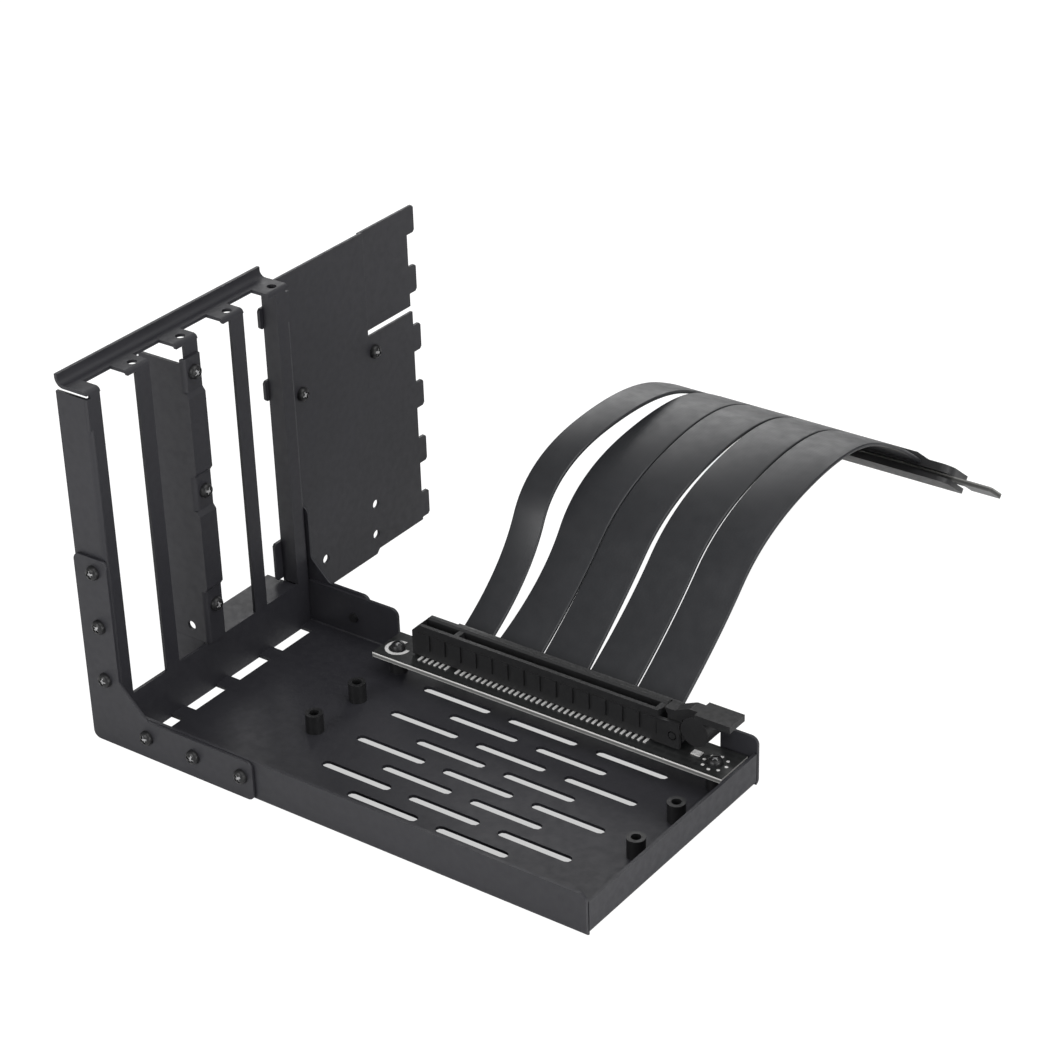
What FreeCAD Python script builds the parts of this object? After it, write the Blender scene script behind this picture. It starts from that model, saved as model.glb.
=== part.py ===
import FreeCAD, Part
import math
import os
import Sketcher

doc = FreeCAD.newDocument("VerticalCardBracket")
sheet = doc.addObject("Spreadsheet::Sheet", "sizes")
Vector = FreeCAD.Vector


class Size:
    """A length together with the spreadsheet expression that gives it."""

    def __init__(self, text, value):
        self.text = text
        self.value = value

    def __add__(self, other):
        other = as_size(other)
        return Size(f"({self.text} + {other.text})", self.value + other.value)

    def __sub__(self, other):
        other = as_size(other)
        return Size(f"({self.text} - {other.text})", self.value - other.value)

    def __mul__(self, other):
        other = as_size(other)
        return Size(f"({self.text} * {other.text})", self.value * other.value)

    def __truediv__(self, other):
        other = as_size(other)
        return Size(f"({self.text} / {other.text})", self.value / other.value)

    def __neg__(self):
        return Size(f"(0 - {self.text})", -self.value)


def as_size(number):
    """A Size as it is, or a plain count or zero as a Size."""
    if isinstance(number, Size):
        return number
    return Size(f"{float(number):g}", float(number))


def size(name, value):
    """Write one driving dimension, in mm, in the next row of the sheet."""
    size.row += 1
    sheet.set(f"A{size.row}", name)
    sheet.set(f"B{size.row}", f"{value:g}")
    sheet.setAlias(f"B{size.row}", name)
    return Size(f"sizes.{name}", float(value))


size.row = 0
zero = as_size(0)

# Folded sheet
gauge = size("sheet_gauge", 1.0)
bend_in = size("bend_inner_radius", 0.5)
bend_out = bend_in + gauge
thread_hole = size("screw_hole_radius", 1.5)

# Card positions at the standard pitch, with posts beside their windows
card = size("card_pitch", 20.32)
first_post = size("first_post_width", 5.2)
window = size("window_width", 14.8)
last_post = size("last_post_width", 6.04)
cards = 4
post = card - window

# Tray: X runs along it from the slot frame past the card slot, Y from its front flange to the rear
slot_left = size("slot_left_end", 48.2)
slot_long = size("slot_length", 89.0)
tray_long = slot_left + slot_long + size("tray_past_slot", 28.1)
tray_wide = first_post + card * (cards - 1) + window + last_post
tray_flange = size("tray_flange_height", 15.5)
tray_end = size("tray_end_flange_height", 10.5)
tray_front = size("tray_front_flange_height", 13.4)
tray_seam = size("tray_corner_seam", 0.4)
flange_corner = size("flange_corner_radius", 2.5)
rear_left = size("rear_flange_left_length", 35.4)
rear_right = size("rear_flange_right_length", 12.5)
rear_step = size("rear_opening_step", 1.4)
vent_long = size("vent_length", 25.0)
vent_wide = size("vent_width", 3.0)
vent_start = size("vent_first_end", 54.7)
vent_last_row = size("vent_last_row", 73.5)
vent_step = size("vent_column_pitch", 31.67)
vent_row = size("vent_row_pitch", 8.08)
vent_rows = 8
end_chords = 4

# Slot frame
frame_tall = size("ledge_height", 116.8)
frame_deep = size("frame_flange_depth", 12.0)
sill = size("window_sill_height", 16.3)
flange_slit = size("flange_slit", 1.2)
cut_deep = size("ledge_cut_depth", 6.6)
tab_reach = size("tab_overhang", 3.3)
tab_ease = size("tab_post_ease", 0.3)
lip_rise = size("lip_height", 3.0)
lip_bend = size("lip_bend_radius", 2.0)
tab_hole_in = size("tab_hole_inset", 3.1)
tab_hole_shift = size("tab_hole_shift", 0.8)
shelf_ease = size("shelf_side_ease", 0.5)
tongue_wide = size("tongue_slot_width", 4.6)
tongue_long = size("tongue_slot_length", 14.4)

# Divider strip on the middle post
strip_gauge = size("strip_gauge", 1.0)
strip_wide = size("strip_width", 7.2)
strip_left = size("strip_offset", 2.2)
strip_low = size("strip_bottom", 16.6)
strip_high = frame_tall - size("strip_top_drop", 5.3)
strip_leaf_drop = size("strip_leaf_drop", 1.5)
strip_raise = size("strip_raise", 1.0)
strip_ramp = size("strip_ramp", 1.4)
strip_deep = size("strip_leaf_depth", 16.5)
strip_land = size("strip_land_length", 11.4)
strip_screw_low = strip_low + size("strip_screw_low_inset", 12.3)
strip_screw_high = strip_high - size("strip_screw_high_inset", 5.0)
strip_hole_up = size("strip_leaf_hole_height", 4.4)
strip_hole_in = size("strip_leaf_hole_inset", 5.8)

# Adapter plate outboard of the frame
plate_gap = size("plate_setback", 5.8)
plate_left = tray_wide - size("plate_overlap", 5.0)
plate_right = plate_left + size("plate_width", 70.3)
plate_low = size("plate_bottom", 3.2)
plate_step = size("plate_bottom_step", 1.5)
plate_step_at = plate_left + size("plate_step_position", 45.5)
plate_top = frame_tall - size("plate_top_drop", 0.4)
plate_ledge_gap = size("plate_ledge_gap", 0.3)
plate_tab_out = size("plate_tab_reach", 3.7)
plate_tab_tall = size("plate_tab_height", 9.2)
plate_tab_first = plate_low + size("plate_tab_first_rise", 2.4)
plate_tab_cut = size("plate_tab_corner_cut", 0.7)
plate_tabs = 6
plate_tab_step = (plate_top - plate_tab_tall - plate_tab_first) / (plate_tabs - 1)
leaf_left = plate_left + size("leaf_position", 47.5)
leaf_slit_low = plate_tab_first + plate_tab_step * 3 + plate_tab_tall + size("leaf_slit_rise", 5.2)
leaf_slit_tall = size("leaf_slit_height", 1.6)
leaf_set = size("leaf_joggle", 0.7)
hook_out = size("hook_reach", 2.4)
hook_tall = size("hook_height", 6.8)
hook_low_tall = size("low_hook_height", 13.0)
hook_low_out = size("low_hook_reach", 4.0)
hook_high = plate_top - size("high_hook_drop", 13.4)
hook_middle = plate_top - size("middle_hook_drop", 37.4)
hook_low = plate_low + size("low_hook_rise", 13.8)
plate_hole = size("plate_hole_radius", 1.5)
plate_hole_spots = [
    (plate_left + size("plate_hole_a_across", 46.3), plate_low + size("plate_hole_a_rise", 18.3)),
    (plate_left + size("plate_hole_b_across", 45.7), plate_low + size("plate_hole_b_rise", 7.3)),
    (plate_left + size("plate_hole_c_across", 20.0), plate_low + size("plate_hole_c_rise", 10.3)),
]
plate_screw_left = plate_left + size("plate_screw_left", 14.0)
plate_screw_right = plate_left + size("plate_screw_right", 50.0)
plate_screw_up = leaf_slit_low - size("plate_screw_drop", 6.0)

# Corner gussets
gusset_low = size("gusset_bottom_edge", 0.3)
gusset_corner = size("gusset_corner_radius", 2.4)
front_gusset_long = size("front_gusset_length", 50.5)
front_gusset_tall = size("front_gusset_height", 63.5)
front_gusset_leg = size("front_gusset_leg_height", 13.2)
gusset_diagonal = size("gusset_diagonal", 9.5)
gusset_edge = size("gusset_edge_offset", 0.8)
gusset_screw_step = size("gusset_screw_pitch", 18.1)
gusset_screw_side = size("gusset_screw_setback", 4.5)
gusset_screw_high = size("gusset_screw_start", 22.6)
gusset_screw_low = size("gusset_leg_screw_height", 7.6)
gusset_screw_out = size("gusset_leg_screw_start", 10.0)
rear_gusset_long = size("rear_gusset_length", 23.5)
rear_gusset_tall = size("rear_gusset_height", 41.0)
rear_gusset_leg = size("rear_gusset_leg_height", 16.2)
rear_gusset_diagonal = size("rear_gusset_diagonal", 7.0)
rear_screw_side = size("rear_screw_setback", 2.6)
rear_screw_low = size("rear_screw_low_height", 20.2)
rear_screw_high = size("rear_screw_height", 34.0)
rear_screw_out = size("rear_leg_screw_position", 18.0)
plate_ease = size("gusset_plate_ease", 0.2)

# Screw heads
head_radius = size("screw_head_radius", 2.3)
head_tall = size("screw_head_height", 1.9)

# Riser board on its stand-offs
stand_radius = size("standoff_radius", 2.75)
stand_tall = size("standoff_height", 6.2)
stand_left = size("standoff_left", 42.0)
stand_right = tray_long - size("standoff_right_inset", 8.8)
stand_front = tray_wide - size("standoff_rear_inset", 9.46) - card * 2
board_left = size("board_left_edge", 36.8)
board_right = tray_long - size("board_right_inset", 2.9)
board_front = tray_wide - size("board_front_inset", 15.6)
board_rear_gap = size("board_rear_gap", 0.5)
board_tail_left = size("board_tail_left", 50.0)
board_tail_right = tray_long - rear_right - size("board_tail_ease", 5.8)
board_gauge = size("board_gauge", 1.6)
board_low = gauge + stand_tall
board_top = board_low + board_gauge

# Card slot on the board
slot_axis = tray_wide - size("slot_axis_inset", 6.4)
slot_wide = size("slot_width", 7.0)
slot_tall = size("slot_height", 11.2)
slot_foot = size("slot_foot_gap", 0.5)
slot_floor = size("slot_floor_height", 2.6)
slot_gap = size("slot_channel_width", 3.2)
slot_mouth = size("slot_mouth_chamfer", 0.6)
slot_end = size("slot_end_wall", 2.0)
slot_key_at = size("slot_key_position", 14.4)
slot_key = size("slot_key_width", 1.8)
slot_ramp = size("slot_end_ramp", 2.5)
rib_out = size("rib_projection", 0.6)
rib_first = size("rib_first", 2.3)
rib_wide = size("rib_width", 4.5)
rib_pitch = size("rib_pitch", 5.85)
rib_low = size("rib_bottom", 3.4)
rib_tall = size("rib_height", 5.4)
rib_count = int(((slot_long - rib_first - rib_wide) / rib_pitch).value) + 1
cheek = size("latch_cheek_thickness", 1.2)
cheek_long = size("latch_cheek_length", 7.4)
cheek_tall = size("latch_cheek_height", 8.4)
latch_gap = size("latch_clearance", 0.35)
pin_radius = size("latch_pin_radius", 1.1)
pin_out = size("latch_pin_position", 5.0)
pin_up = size("latch_pin_height", 4.4)
latch_arm = size("latch_arm_width", 4.4)
latch_top = size("latch_handle_height", 14.4)
latch_reach = size("latch_handle_reach", 24.6)
latch_thick = size("latch_handle_thickness", 2.2)
latch_nose = size("latch_nose_reach", 1.0)
latch_hub = size("latch_hub_half_width", 2.4)
latch_round = size("latch_handle_round", 2.0)
lobe_out = size("latch_lobe_position", 7.8)
lobe_up = size("latch_lobe_height", 4.0)
lobe_radius = size("latch_lobe_radius", 4.6)
lobe_wide = size("latch_lobe_width", 8.0)

# Contacts in the slot
pin_pitch = size("contact_pitch", 2.0)
pin_wide = size("contact_width", 0.7)
pin_gauge = size("contact_gauge", 0.35)
pin_first = size("contact_start", 3.2)
pin_tall = size("contact_height", 7.6)
pin_foot = size("contact_foot_reach", 2.0)
short_row = int(((slot_key_at - pin_first - pin_wide) / pin_pitch).value) + 1
pin_skip = int(((slot_key_at + slot_key - pin_first) / pin_pitch).value) + 1
long_span = slot_long - slot_end - pin_first - pin_pitch * pin_skip - pin_wide
long_row = int((long_span / pin_pitch).value) + 1

# Ribbon cable of five bands, its clamp and its plug
band_edges = [
    size("band_edge_a", 59.0),
    size("band_edge_b", 72.4),
    size("band_edge_c", 88.8),
    size("band_edge_d", 105.6),
    size("band_edge_e", 122.4),
    size("band_edge_f", 139.0),
]
band_gap = size("band_gap", 0.5)
bow_gap = size("bowed_band_gap", 1.9)
band_gauge = size("band_gauge", 1.2)
clamp_front = slot_axis + slot_wide / 2 + pin_foot + size("clamp_front_clearance", 0.3)
exit_across = clamp_front + size("ribbon_exit_setback", 2.1)
clamp_rear = exit_across + size("clamp_rear_run", 2.5)
board_tail = clamp_rear + size("board_tail_past_clamp", 1.0)
exit_up = size("ribbon_exit_height", 16.2)
rise_run = size("ribbon_first_run", 22.6)
rise_angle = size("ribbon_first_rise", 33.0)
knee_across = size("ribbon_knee_across", 135.5)
knee_up = size("ribbon_knee_height", 53.6)
crest_across = size("ribbon_crest_across", 184.0)
crest_up = size("ribbon_crest_height", 55.4)
crest_fall = size("ribbon_crest_fall", 0.6)
bow_knee_across = size("bowed_knee_across", 124.5)
bow_knee_up = size("bowed_knee_height", 58.5)
bow_crest_across = size("bowed_crest_across", 172.0)
bow_crest_up = size("bowed_crest_height", 59.4)
plug_across = size("plug_across", 228.5)
plug_up = size("plug_height", 33.8)
plug_tilt = size("plug_tilt", 38.0)
last_run = size("ribbon_last_run", 21.0)
bow_last_run = size("bowed_last_run", 24.0)
arc_share = size("route_arc_share", 0.42)
clamp_face = size("clamp_face_half_height", 2.3)
clamp_over = size("clamp_overhang", 0.3)
plug_left = size("plug_left_end", 48.5)
plug_right = size("plug_right_end", 149.5)
plug_deep = size("plug_cover_depth", 16.0)
plug_upper = size("plug_upper_thickness", 2.6)
plug_lower = size("plug_lower_thickness", 1.6)
plug_end = size("plug_end_radius", 4.0)
hump_in = size("plug_hump_inset", 9.0)
hump_slope = size("plug_hump_slope", 4.0)
hump_tall = size("plug_hump_height", 1.4)
edge_left = size("card_edge_left", 55.0)
edge_long = size("card_edge_length", 84.0)
edge_out = size("card_edge_reach", 9.0)
edge_key_at = size("card_edge_key_position", 12.2)
edge_key = size("card_edge_key_width", 2.4)
hook_gap = size("card_hook_notch", 3.0)
hook_end = size("card_hook_end", 163.0)
hook_deep = size("card_hook_depth", 10.0)
hook_back = size("card_hook_setback", 4.0)
hook_corner = size("card_hook_corner_radius", 1.0)

# The origin is the middle of the tray's underside
shift_x = tray_long / -2
shift_y = tray_wide / -2


def placed(item, x=zero, y=zero, z=zero, axis=None, angle=None):
    """Seat an object in the shared frame by expressions on its placement."""
    if axis is not None:
        item.Placement = FreeCAD.Placement(Vector(0, 0, 0), FreeCAD.Rotation(axis, angle.value))
        item.setExpression("Placement.Rotation.Angle", angle.text)
    for letter, value in (("x", shift_x + x), ("y", shift_y + y), ("z", as_size(z))):
        item.setExpression(f"Placement.Base.{letter}", value.text)
    return item


def new_body(name):
    body = doc.addObject("PartDesign::Body", name)
    body.Label = name
    return body


def new_sketch(body, name, plane, offset=zero):
    """A sketch on one of the body's own origin planes, moved along its normal."""
    sketch = body.newObject("Sketcher::SketchObject", name)
    support = [item for item in body.Origin.OriginFeatures if item.Role == plane + "_Plane"]
    sketch.AttachmentSupport = [(support[0], "")]
    sketch.MapMode = "FlatFace"
    sketch.setExpression("AttachmentOffset.Base.z", as_size(offset).text)
    return sketch


def fix(sketch, kind, geometry, point, value):
    """Hold one coordinate of a point, or one radius, to an expression."""
    value = as_size(value)
    if kind == "Radius":
        made = sketch.addConstraint(Sketcher.Constraint(kind, geometry, value.value))
    else:
        made = sketch.addConstraint(Sketcher.Constraint(kind, -1, 1, geometry, point, value.value))
    sketch.setExpression(f"Constraints[{made}]", value.text)


def fix_point(sketch, geometry, point, x, y):
    fix(sketch, "DistanceX", geometry, point, x)
    fix(sketch, "DistanceY", geometry, point, y)


def outline(sketch, corners):
    """A closed outline of straight sides; a corner with a third value is rounded."""
    spots = [Vector(as_size(c[0]).value, as_size(c[1]).value, 0) for c in corners]
    count = len(corners)
    enters = []
    leaves = []
    arcs = {}
    for i, corner in enumerate(corners):
        here = spots[i]
        back = (spots[i - 1] - here).normalize()
        ahead = (spots[(i + 1) % count] - here).normalize()
        if len(corner) < 3:
            enters.append(here)
            leaves.append(here)
            continue
        half = back.getAngle(ahead) / 2
        radius = as_size(corner[2]).value
        enters.append(here + back * (radius / math.tan(half)))
        leaves.append(here + ahead * (radius / math.tan(half)))
        middle = here + (back + ahead).normalize() * (radius / math.sin(half))
        left_turn = ahead.cross(back).z > 0
        first, last = (enters[i], leaves[i]) if left_turn else (leaves[i], enters[i])
        start = math.atan2(first.y - middle.y, first.x - middle.x)
        end = math.atan2(last.y - middle.y, last.x - middle.x)
        arc = Part.ArcOfCircle(Part.Circle(middle, Vector(0, 0, 1), radius), start, end)
        arcs[i] = (sketch.addGeometry(arc, False), left_turn)
    sides = []
    for i in range(count):
        side = Part.LineSegment(leaves[i], enters[(i + 1) % count])
        sides.append(sketch.addGeometry(side, False))
    for i, corner in enumerate(corners):
        before = sides[i - 1]
        after = sides[i]
        if i not in arcs:
            sketch.addConstraint(Sketcher.Constraint("Coincident", before, 2, after, 1))
            fix_point(sketch, after, 1, corner[0], corner[1])
            continue
        arc, left_turn = arcs[i]
        first, last = (1, 2) if left_turn else (2, 1)
        sketch.addConstraint(Sketcher.Constraint("Tangent", before, 2, arc, first))
        sketch.addConstraint(Sketcher.Constraint("Tangent", arc, last, after, 1))
        fix(sketch, "Radius", arc, None, corner[2])
        tip = sketch.addGeometry(Part.Point(spots[i]), True)
        fix_point(sketch, tip, 1, corner[0], corner[1])
        sketch.addConstraint(Sketcher.Constraint("PointOnObject", tip, 1, before))
        sketch.addConstraint(Sketcher.Constraint("PointOnObject", tip, 1, after))


def rectangle(sketch, left, low, right, high, radius=None):
    corners = [(left, low), (right, low), (right, high), (left, high)]
    if radius is not None:
        corners = [(x, y, radius) for x, y in corners]
    outline(sketch, corners)


def vent_outline(sketch, left, middle, right, radius):
    """A long vent whose round ends are a few chords each, to keep the sheet light in facets."""
    corners = []
    for end, start in ((right - radius, -90), (left + radius, 90)):
        for step in range(end_chords + 1):
            turn = math.radians(start + 180 / end_chords * step)
            across = radius * round(math.cos(turn), 5)
            corners.append((end + across, middle + radius * round(math.sin(turn), 5)))
    outline(sketch, corners)


def circles(sketch, spots, radius):
    for x, y in spots:
        middle = Vector(as_size(x).value, as_size(y).value, 0)
        ring = sketch.addGeometry(Part.Circle(middle, Vector(0, 0, 1), radius.value), False)
        fix_point(sketch, ring, 3, x, y)
        fix(sketch, "Radius", ring, None, radius)


def pad(body, sketch, length):
    """Fill a sketch to a length along its plane's normal."""
    made = body.newObject("PartDesign::Pad", sketch.Name + "Pad")
    made.Profile = sketch
    made.setExpression("Length", as_size(length).text)
    return made


def pocket(body, sketch, length):
    """Cut a sketch to a length against its plane's normal."""
    made = body.newObject("PartDesign::Pocket", sketch.Name + "Pocket")
    made.Profile = sketch
    made.setExpression("Length", as_size(length).text)
    return made


def pattern(body, feature, sketch, axis, count, pitch):
    """Repeat a feature along a sketch axis at a pitch."""
    made = body.newObject("PartDesign::LinearPattern", feature.Name + "Row")
    made.Originals = [feature]
    made.Direction = (sketch, [axis])
    made.Occurrences = count
    made.setExpression("Length", (pitch * (count - 1)).text)
    body.Tip = made
    return made


def round_corners(body, name, axis, spots, radius):
    """Round the edges that run along one axis through the given places."""
    doc.recompute()
    found = []
    for number, edge in enumerate(body.Tip.Shape.Edges, 1):
        ends = [vertex.Point for vertex in edge.Vertexes]
        if len(ends) != 2 or abs(abs((ends[1] - ends[0]).normalize().dot(axis)) - 1) > 1e-6:
            continue
        for spot in spots:
            away = Vector(*[as_size(v).value for v in spot]) - ends[0]
            if (away - axis * away.dot(axis)).Length < 1e-4:
                found.append(f"Edge{number}")
    base = body.Tip
    made = body.newObject("PartDesign::Fillet", name)
    made.Base = (base, found)
    made.setExpression("Radius", radius.text)
    return made


def copies(name, body, spots, axis=None, angle=None):
    """One node of equal separate solids, each a link to the same body."""
    links = []
    for number, spot in enumerate(spots, 1):
        link = doc.addObject("App::Link", f"{name}_{number}")
        link.LinkedObject = body
        links.append(placed(link, *spot, axis=axis, angle=angle))
    group = doc.addObject("Part::Compound", name)
    group.Label = name
    group.Links = links
    return group


nodes = []
X = Vector(1, 0, 0)
Y = Vector(0, 1, 0)
quarter = as_size(90)

windows = [(first_post + card * i, first_post + card * i + window) for i in range(cards)]
leg_screws = [gusset_screw_out + gusset_screw_step * i for i in range(3)]
post_screws = [gusset_screw_high + gusset_screw_step * i for i in range(3)]
rear_leg_screws = [(rear_screw_out, gusset_screw_low)]
rear_post_screws = [(-rear_screw_side, z) for z in (rear_screw_low, rear_screw_high)]

# Tray: a pan of one sheet with the fold radii in its section
tray = new_body("tray")
section = new_sketch(tray, "TraySection", "YZ")
outline(section, [
    (zero, tray_front),
    (zero, zero, bend_out),
    (tray_wide, zero, bend_out),
    (tray_wide, tray_flange),
    (tray_wide - gauge, tray_flange),
    (tray_wide - gauge, gauge, bend_in),
    (gauge, gauge, bend_in),
    (gauge, tray_front),
])
pad(tray, section, tray_long)
end_cut = new_sketch(tray, "TrayEndRelief", "XY", gauge * 2)
rectangle(end_cut, tray_long - bend_out, bend_out, tray_long + gauge, tray_wide - bend_out)
pocket(tray, end_cut, gauge * 3)
end_fold = new_sketch(tray, "TrayEndFold", "XZ", -(gauge + tray_seam))
outline(end_fold, [
    (tray_long - bend_out * 2, zero),
    (tray_long, zero, bend_out),
    (tray_long, tray_end),
    (tray_long - gauge, tray_end),
    (tray_long - gauge, gauge, bend_in),
    (tray_long - bend_out * 2, gauge),
])
fold = pad(tray, end_fold, tray_wide - (gauge + tray_seam) * 2)
fold.Reversed = True
rear_cut = new_sketch(tray, "TrayRearOpening", "XZ", -(tray_wide - bend_out))
rectangle(rear_cut, rear_left, gauge + rear_step, tray_long - rear_right, tray_flange + gauge)
pocket(tray, rear_cut, bend_out * 2)
for row in range(2):
    vents = new_sketch(tray, f"TrayVents{row}", "XY", gauge * 2)
    across = vent_last_row - vent_row * (vent_rows - 2 + row)
    for column in range(3 - row):
        left = vent_start + vent_step * (column + row / 2)
        vent_outline(vents, left, across, left + vent_long, vent_wide / 2)
    cut = pocket(tray, vents, gauge * 3)
    pattern(tray, cut, vents, "V_Axis", vent_rows // 2, vent_row * 2)
tongues = new_sketch(tray, "TrayTongueSlots", "XY", gauge * 2)
for low, high in windows:
    middle = (low + high) / 2
    rectangle(tongues, -gauge, middle - tongue_long / 2, tongue_wide, middle + tongue_long / 2)
pocket(tray, tongues, gauge * 3)
round_corners(tray, "TrayFlangeCorners", Y, [
    (rear_left, zero, tray_flange),
    (tray_long - rear_right, zero, tray_flange),
    (tray_long, zero, tray_flange),
    (tray_long, zero, tray_front),
], flange_corner)
nodes.append(placed(tray))

# Slot frame: face, side flanges, ledge with tabs and curled lip from one sheet
frame = new_body("slot_frame")
frame_section = new_sketch(frame, "FrameSection", "XY")
outline(frame_section, [
    (-frame_deep, zero),
    (zero, zero, bend_out),
    (zero, tray_wide, bend_out),
    (-plate_gap, tray_wide),
    (-plate_gap, tray_wide - gauge),
    (-gauge, tray_wide - gauge, bend_in),
    (-gauge, gauge, bend_in),
    (-frame_deep, gauge),
])
pad(frame, frame_section, frame_tall - gauge - flange_slit)
ledge = new_sketch(frame, "FrameLedge", "XZ", -tray_wide)
outline(ledge, [
    (zero, frame_tall - frame_deep),
    (zero, frame_tall, bend_out),
    (gauge - frame_deep, frame_tall, lip_bend),
    (gauge - frame_deep, frame_tall + lip_rise),
    (-frame_deep, frame_tall + lip_rise),
    (-frame_deep, frame_tall - gauge, lip_bend + gauge),
    (-gauge, frame_tall - gauge, bend_in),
    (-gauge, frame_tall - frame_deep),
])
pad(frame, ledge, tray_wide)
edge_trim = new_sketch(frame, "FrameEdgeTrim", "YZ", gauge)
for low, high in ((-gauge, bend_out), (tray_wide - bend_out, tray_wide + gauge)):
    rectangle(edge_trim, low, frame_tall - gauge - flange_slit, high, frame_tall - gauge)
pocket(frame, edge_trim, frame_deep * 2)
openings = new_sketch(frame, "FrameWindows", "YZ", gauge)
for low, high in windows:
    rectangle(openings, low, sill, high, frame_tall - gauge - bend_in)
pocket(frame, openings, gauge * 2)
ledge_cuts = new_sketch(frame, "FrameLedgeCuts", "XY", frame_tall + gauge)
for low, high in windows:
    rectangle(ledge_cuts, -cut_deep, low + tab_ease, gauge, high - tab_reach)
pocket(frame, ledge_cuts, gauge * 3 + bend_in)
channel = new_sketch(frame, "FramePostFlange", "XY", sill)
rectangle(channel, -plate_gap, windows[3][1], -gauge / 2, windows[3][1] + gauge)
pad(frame, channel, frame_tall - gauge - flange_slit - sill)
shelf = new_sketch(frame, "FrameShelf", "XY", sill - gauge)
rectangle(shelf, -frame_deep, windows[2][0] + shelf_ease, -gauge / 2, windows[3][1] - shelf_ease)
pad(frame, shelf, gauge)
tab_holes = new_sketch(frame, "FrameTabHoles", "XY", frame_tall + gauge)
tab_spots = [(-tab_hole_in, high + post / 2 - tab_hole_shift) for low, high in windows]
circles(tab_holes, tab_spots, thread_hole)
pocket(frame, tab_holes, gauge * 3)
strip_screws_across = windows[1][1] + post / 2 - tab_hole_shift
strip_screw_step = (strip_screw_high - strip_screw_low) / 2
strip_screws = [(strip_screws_across, strip_screw_low + strip_screw_step * i) for i in range(3)]
nodes.append(placed(frame))

# Divider strip: an angle on the middle post with two raised lengths between its screws
strip = new_body("divider_strip")
strip_edge = windows[1][1] - strip_left
strip_section = new_sketch(strip, "StripSection", "XY", strip_low)
outline(strip_section, [
    (-strip_deep, strip_edge),
    (strip_gauge, strip_edge, strip_gauge + bend_in),
    (strip_gauge, strip_edge + strip_wide),
    (zero, strip_edge + strip_wide),
    (zero, strip_edge + strip_gauge, bend_in),
    (-strip_deep, strip_edge + strip_gauge),
])
pad(strip, strip_section, strip_high - strip_low)
leaf_drop = new_sketch(strip, "StripLeafDrop", "XZ", -(strip_edge + strip_gauge + bend_in))
rectangle(leaf_drop, -strip_deep - gauge, strip_high - strip_leaf_drop, -bend_in, strip_high + gauge)
drop = pocket(strip, leaf_drop, strip_gauge * 3)
drop.Reversed = True
raised = [
    (strip_screws[i][1] + strip_land / 2, strip_screws[i + 1][1] - strip_land / 2) for i in range(2)
]
free = new_sketch(strip, "StripFreeLengths", "XZ", -(strip_edge + strip_gauge))
for low, high in raised:
    rectangle(free, -bend_in, low + strip_ramp, strip_gauge * 2, high - strip_ramp)
pocket(strip, free, strip_wide)
folds = new_sketch(strip, "StripRaisedFolds", "XZ", -(strip_edge + strip_gauge))
for low, high in raised:
    outline(folds, [
        (-bend_out, low),
        (strip_gauge, low),
        (strip_gauge + strip_raise, low + strip_ramp),
        (strip_gauge + strip_raise, high - strip_ramp),
        (strip_gauge, high),
        (-bend_out, high),
    ])
pad(strip, folds, strip_gauge)
bridges = new_sketch(strip, "StripRaisedLengths", "XZ", -(strip_edge + strip_wide))
inner_set = strip_gauge * size("strip_ramp_set", 0.4)
for low, high in raised:
    outline(bridges, [
        (zero, low),
        (strip_gauge, low),
        (strip_gauge + strip_raise, low + strip_ramp),
        (strip_gauge + strip_raise, high - strip_ramp),
        (strip_gauge, high),
        (zero, high),
        (zero, high - inner_set),
        (strip_raise, high - strip_ramp - inner_set),
        (strip_raise, low + strip_ramp + inner_set),
        (zero, low + inner_set),
    ])
pad(strip, bridges, strip_wide)
leaf_hole = new_sketch(strip, "StripLeafHole", "XZ", -(strip_edge - gauge))
circles(leaf_hole, [(-strip_hole_in, strip_low + strip_hole_up)], thread_hole)
pocket(strip, leaf_hole, gauge * 3)
nodes.append(placed(strip))


def tab(edge, start, end, reach):
    """Corners of a tab on an upright edge, cut at its two outer corners."""
    up = plate_tab_cut if end.value > start.value else -plate_tab_cut
    side = plate_tab_cut if reach.value > 0 else -plate_tab_cut
    tip = edge + reach
    return [
        (edge, start),
        (tip - side, start),
        (tip, start + up),
        (tip, end - up),
        (tip - side, end),
        (edge, end),
    ]


# Adapter plate: hooked left edge, six tabs on the right edge and a joggled leaf
plate = new_body("adapter_plate")
plate_sketch = new_sketch(plate, "PlateOutline", "YZ", -(plate_gap + gauge))
left_edge = [(plate_left, frame_tall - gauge - plate_ledge_gap)]
left_edge += tab(plate_left, hook_high + hook_tall, hook_high, -hook_out)
left_edge += tab(plate_left, hook_middle + hook_tall, hook_middle, -hook_out)
left_edge += tab(plate_left, hook_low + hook_low_tall, hook_low, -hook_low_out)
tabs = []
for i in range(plate_tabs):
    low = plate_tab_first + plate_tab_step * i
    tabs.append(tab(plate_right, low, low + plate_tab_tall, plate_tab_out))
outline(plate_sketch, left_edge + [
    (plate_left, plate_low),
    (plate_step_at, plate_low),
    (plate_step_at + plate_step, plate_low + plate_step),
    (plate_right, plate_low + plate_step),
] + sum(tabs[:4], []) + [
    (plate_right, leaf_slit_low),
    (leaf_left, leaf_slit_low),
    (leaf_left, plate_top),
    (tray_wide + plate_ledge_gap * 2, plate_top),
    (tray_wide + plate_ledge_gap * 2, frame_tall - gauge - plate_ledge_gap),
])
pad(plate, plate_sketch, gauge)
leaf_sketch = new_sketch(plate, "PlateLeaf", "YZ", -(plate_gap + gauge + leaf_set))
outline(leaf_sketch, [
    (leaf_left - gauge, leaf_slit_low + leaf_slit_tall),
    (plate_right, leaf_slit_low + leaf_slit_tall),
] + sum(tabs[4:], []) + [
    (leaf_left - gauge, plate_top),
])
pad(plate, leaf_sketch, gauge)
plate_holes = new_sketch(plate, "PlateHoles", "YZ", zero)
circles(plate_holes, plate_hole_spots, plate_hole)
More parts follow.
